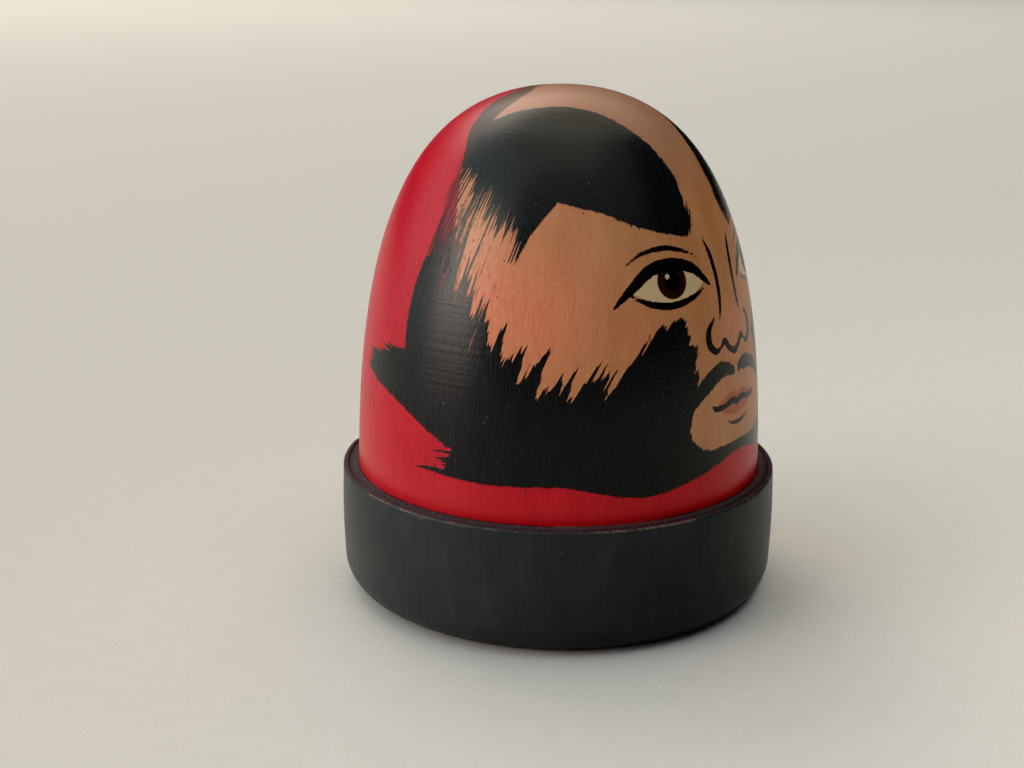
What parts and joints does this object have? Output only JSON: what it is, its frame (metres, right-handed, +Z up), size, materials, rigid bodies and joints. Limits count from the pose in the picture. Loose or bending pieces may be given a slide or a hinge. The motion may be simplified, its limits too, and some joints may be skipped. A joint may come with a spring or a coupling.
{
  "type": "daruma doll",
  "caption": "Turned wooden figure with a domed painted body that drops over a peg into a round black base, and lifts off or turns in it.",
  "frame": {"origin": "middle of the base's underside, where the doll stands on a table", "axes": "+Z up along the axis that every piece is turned about, the painted face looks along -Y"},
  "size_m": [0.0704, 0.0704, 0.08],
  "materials": {
    "painted_body": "satin waxed red, black and bare wood",
    "black_base": "satin black lacquer with a dull top ledge",
    "bare_wood": "bare turned wood"
  },
  "bodies": {
    "base": {"base": "black_base"},
    "peg": {"locating_dowel": "bare_wood"},
    "doll": {"doll_body": "painted_body"}
  },
  "joints": [
    {"name": "body_turn", "type": "hinge", "parent": "base", "child": "peg", "pos_m": [0, 0, 0.02], "axis": [0, 0, 1], "continuous": true},
    {"name": "body_lift", "type": "slide", "parent": "peg", "child": "doll", "axis": [0, 0, 1], "range_m": [0, 0.03]}
  ]
}
